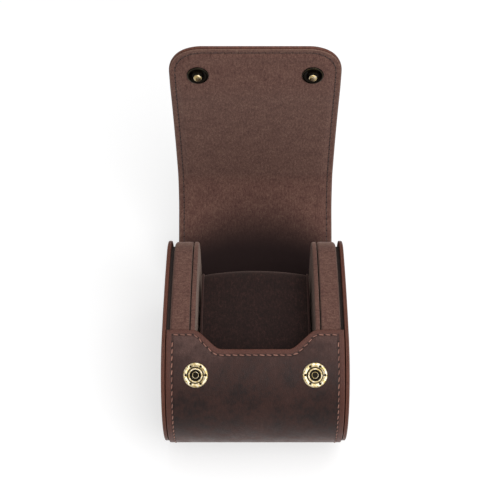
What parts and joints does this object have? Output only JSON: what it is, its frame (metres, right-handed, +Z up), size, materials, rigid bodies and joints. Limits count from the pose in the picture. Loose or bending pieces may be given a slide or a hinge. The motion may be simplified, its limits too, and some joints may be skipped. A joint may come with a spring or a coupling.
{
  "type": "watch travel case",
  "caption": "Leather roll case that holds a watch on a removable pillow between rounded end walls, with a folding flap that wraps over and closes on press snaps.",
  "frame": {"origin": "on the flat base, in the middle of the case's width and of the depth of its end covers", "axes": "+X across the case, parallel to the fold lines; -Y towards the front with the snap sockets; +Z up out of the base"},
  "size_m": [0.085, 0.1434, 0.1459],
  "materials": {
    "saddle_leather": "satin",
    "suede": "matte",
    "board": "matte",
    "core_wood": "matte",
    "antique_brass": "polished",
    "spring_steel": "polished",
    "pillow_suede": "matte",
    "foam": "matte"
  },
  "bodies": {
    "case": {"cover_leather_left": "saddle_leather", "cover_leather_right": "saddle_leather", "cover_backing_left": "saddle_leather", "cover_backing_right": "saddle_leather", "end_core_left": "core_wood", "end_core_right": "core_wood", "rim_band_left": "suede", "rim_band_right": "suede", "lip_suede_left": "suede", "lip_suede_right": "suede", "lip_board_left": "board", "lip_board_right": "board", "socket_shell_left": "antique_brass", "socket_shell_right": "antique_brass", "socket_spring_left": "spring_steel", "socket_spring_right": "spring_steel", "socket_rivet_left": "antique_brass", "socket_rivet_right": "antique_brass", "wrap_leather": "saddle_leather", "wrap_board": "board", "cavity_lining": "suede"},
    "flap_back": {"flap_leather_back": "saddle_leather", "flap_board_back": "board", "flap_suede_back": "suede"},
    "flap_corner": {"flap_leather_corner": "saddle_leather", "flap_board_corner": "board", "flap_suede_corner": "suede"},
    "flap_top": {"flap_leather_top": "saddle_leather", "flap_board_top": "board", "flap_suede_top": "suede"},
    "flap_front": {"flap_leather_front": "saddle_leather", "flap_board_front": "board", "flap_suede_front": "suede", "stud_left": "antique_brass", "stud_right": "antique_brass", "snap_cap_left": "antique_brass", "snap_cap_right": "antique_brass"},
    "pillow": {"pillow_end_left": "pillow_suede", "pillow_end_right": "pillow_suede", "pillow_foam": "foam", "pillow_wrap": "pillow_suede"}
  },
  "joints": [
    {"name": "back_fold", "type": "hinge", "parent": "case", "child": "flap_back", "pos_m": [0, 0.0501, 0.01144], "axis": [1, 0, 0], "range_deg": [-30, 56]},
    {"name": "corner_fold", "type": "hinge", "parent": "flap_back", "child": "flap_corner", "pos_m": [0, 0.08607, 0.0357], "axis": [1, 0, 0], "range_deg": [-7.72, 14.4]},
    {"name": "top_fold", "type": "hinge", "parent": "flap_corner", "child": "flap_top", "pos_m": [0, 0.09383, 0.04914], "axis": [1, 0, 0], "range_deg": [-5.63, 10.5]},
    {"name": "front_fold", "type": "hinge", "parent": "flap_top", "child": "flap_front", "pos_m": [0, 0.0883, 0.11932], "axis": [1, 0, 0], "range_deg": [-24.88, 46.43]},
    {"name": "pillow_lift", "type": "slide", "parent": "case", "child": "pillow", "axis": [0, 0.342, 0.9397], "range_m": [0, 0.084]}
  ],
  "couplings": [
    {"joint": "corner_fold", "follows": "back_fold", "ratio": 0.25697},
    {"joint": "top_fold", "follows": "back_fold", "ratio": 0.18732},
    {"joint": "front_fold", "follows": "back_fold", "ratio": 0.82892}
  ]
}
